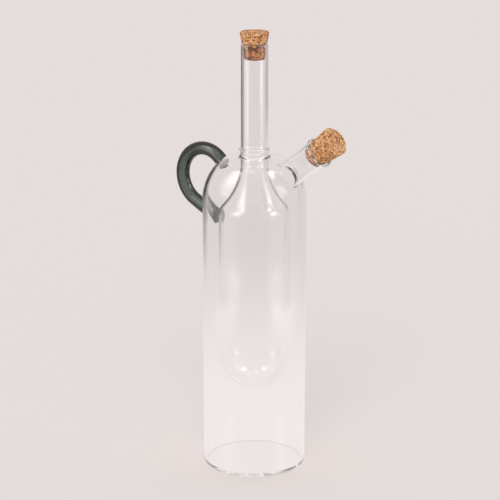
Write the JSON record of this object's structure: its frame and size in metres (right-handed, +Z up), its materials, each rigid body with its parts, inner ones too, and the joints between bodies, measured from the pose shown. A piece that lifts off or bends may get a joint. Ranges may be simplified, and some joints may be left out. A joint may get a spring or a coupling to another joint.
{
  "type": "glass oil dispenser",
  "caption": "Clear glass oil and vinegar dispenser: an inner flask with a long neck inside a straight bottle with a slanted side spout, a dark rod handle and tapered corks.",
  "frame": {"origin": "middle of the flat base, on the axis of the bottle", "axes": "+Z up along the bottle's axis, +X towards the side spout, the handle on the -X side"},
  "size_m": [0.1389, 0.07, 0.3],
  "materials": {
    "clear_glass": "clear polished borosilicate",
    "dark_glass": "dark grey-green, polished",
    "cork": "agglomerated cork, matt"
  },
  "bodies": {
    "vessel": {"outer_body": "clear_glass", "inner_flask": "clear_glass", "side_spout": "clear_glass", "handle": "dark_glass"},
    "neck_cork": {"neck_stopper": "cork"},
    "spout_cork": {"spout_stopper": "cork"}
  },
  "joints": [
    {"name": "neck_cork_pull", "type": "slide", "parent": "vessel", "child": "neck_cork", "axis": [0, 0, 1], "range_m": [0, 0.02]},
    {"name": "spout_cork_pull", "type": "slide", "parent": "vessel", "child": "spout_cork", "axis": [0.8007, 0, 0.599], "range_m": [0, 0.02]}
  ]
}
